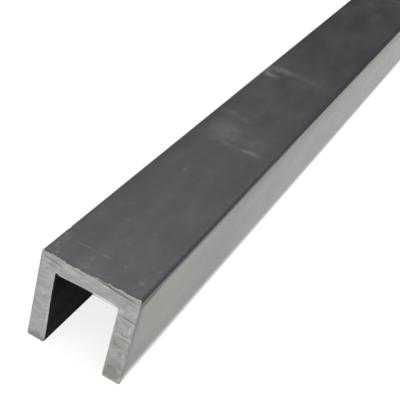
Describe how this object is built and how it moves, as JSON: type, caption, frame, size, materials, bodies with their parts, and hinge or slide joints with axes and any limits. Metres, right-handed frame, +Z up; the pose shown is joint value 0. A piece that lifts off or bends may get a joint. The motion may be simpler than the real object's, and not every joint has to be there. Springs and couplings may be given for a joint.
{
  "type": "aluminium u-channel profile",
  "caption": "Equal-leg extruded aluminium U-channel in mill finish, saw-cut square at both ends, lying legs down; frames, edges or guides a panel or bar in its slot.",
  "frame": {"origin": "middle of the footprint, at the level of the two leg tips that it lies on", "axes": "+Z up out of the web's outer face, +Y along the length, +X across the section"},
  "size_m": [0.0254, 0.3048, 0.0254],
  "materials": {
    "mill_aluminium": "mill finish, dull satin with faint die lines and handling marks; sawn ends"
  },
  "bodies": {
    "root": {"channel": "mill_aluminium"}
  },
  "joints": []
}
